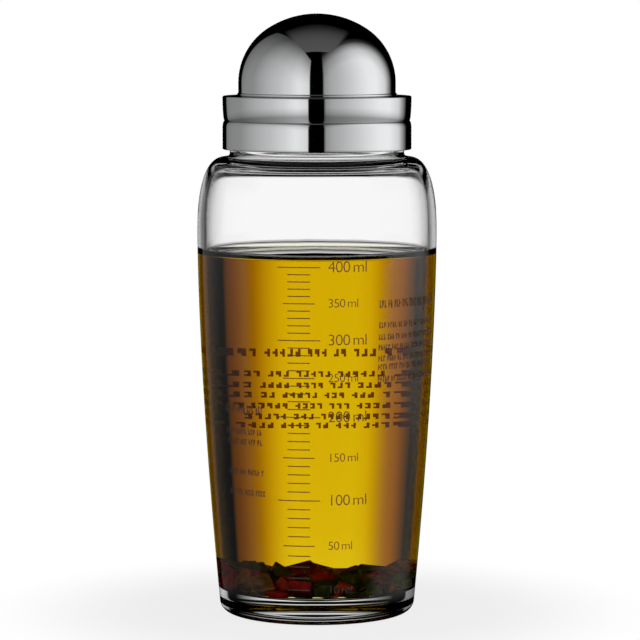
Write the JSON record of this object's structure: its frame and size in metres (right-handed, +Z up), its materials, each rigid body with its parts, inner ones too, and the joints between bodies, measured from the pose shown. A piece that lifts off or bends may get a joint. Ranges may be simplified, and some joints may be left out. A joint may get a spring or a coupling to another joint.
{
  "type": "salad dressing shaker bottle",
  "caption": "Upright glass carafe holding oil dressing over vegetable dice, with a volume scale, a push-fit steel collar holding a strainer, and a domed steel cap.",
  "frame": {"origin": "centre of the bottle's base, on the surface it stands on", "axes": "+Z up along the bottle's axis, -Y towards the volume scale, +X to the right of it"},
  "size_m": [0.0798, 0.0798, 0.1999],
  "materials": {
    "clear_glass": "gloss",
    "scale_enamel": "satin",
    "dressing_oil": "gloss",
    "red_pepper": "satin",
    "green_pepper": "satin",
    "onion": "satin",
    "polished_steel": "polished",
    "strainer_steel": "satin",
    "dark_plastic": "satin",
    "clear_silicone": "satin"
  },
  "bodies": {
    "bottle": {"glass_body": "clear_glass", "volume_marks": "scale_enamel", "dressing_oil": "dressing_oil", "red_pepper_dice": "red_pepper", "green_pepper_dice": "green_pepper", "onion_dice": "onion"},
    "collar": {"collar_core": "dark_plastic", "neck_collar": "polished_steel", "pour_ring": "polished_steel", "neck_seal": "clear_silicone", "rim_gasket": "clear_silicone"},
    "strainer": {"strainer_frame": "dark_plastic", "strainer_plate": "strainer_steel"},
    "cap": {"dome_shell": "polished_steel", "cap_plug": "dark_plastic", "cap_seal": "clear_silicone"}
  },
  "joints": [
    {"name": "collar_lift", "type": "slide", "parent": "bottle", "child": "collar", "axis": [0, 0, 1], "range_m": [0, 0.02]},
    {"name": "strainer_drop", "type": "slide", "parent": "collar", "child": "strainer", "axis": [0, 0, -1], "range_m": [0, 0.012]},
    {"name": "cap_lift", "type": "slide", "parent": "collar", "child": "cap", "axis": [0, 0, 1], "range_m": [0, 0.02]}
  ]
}
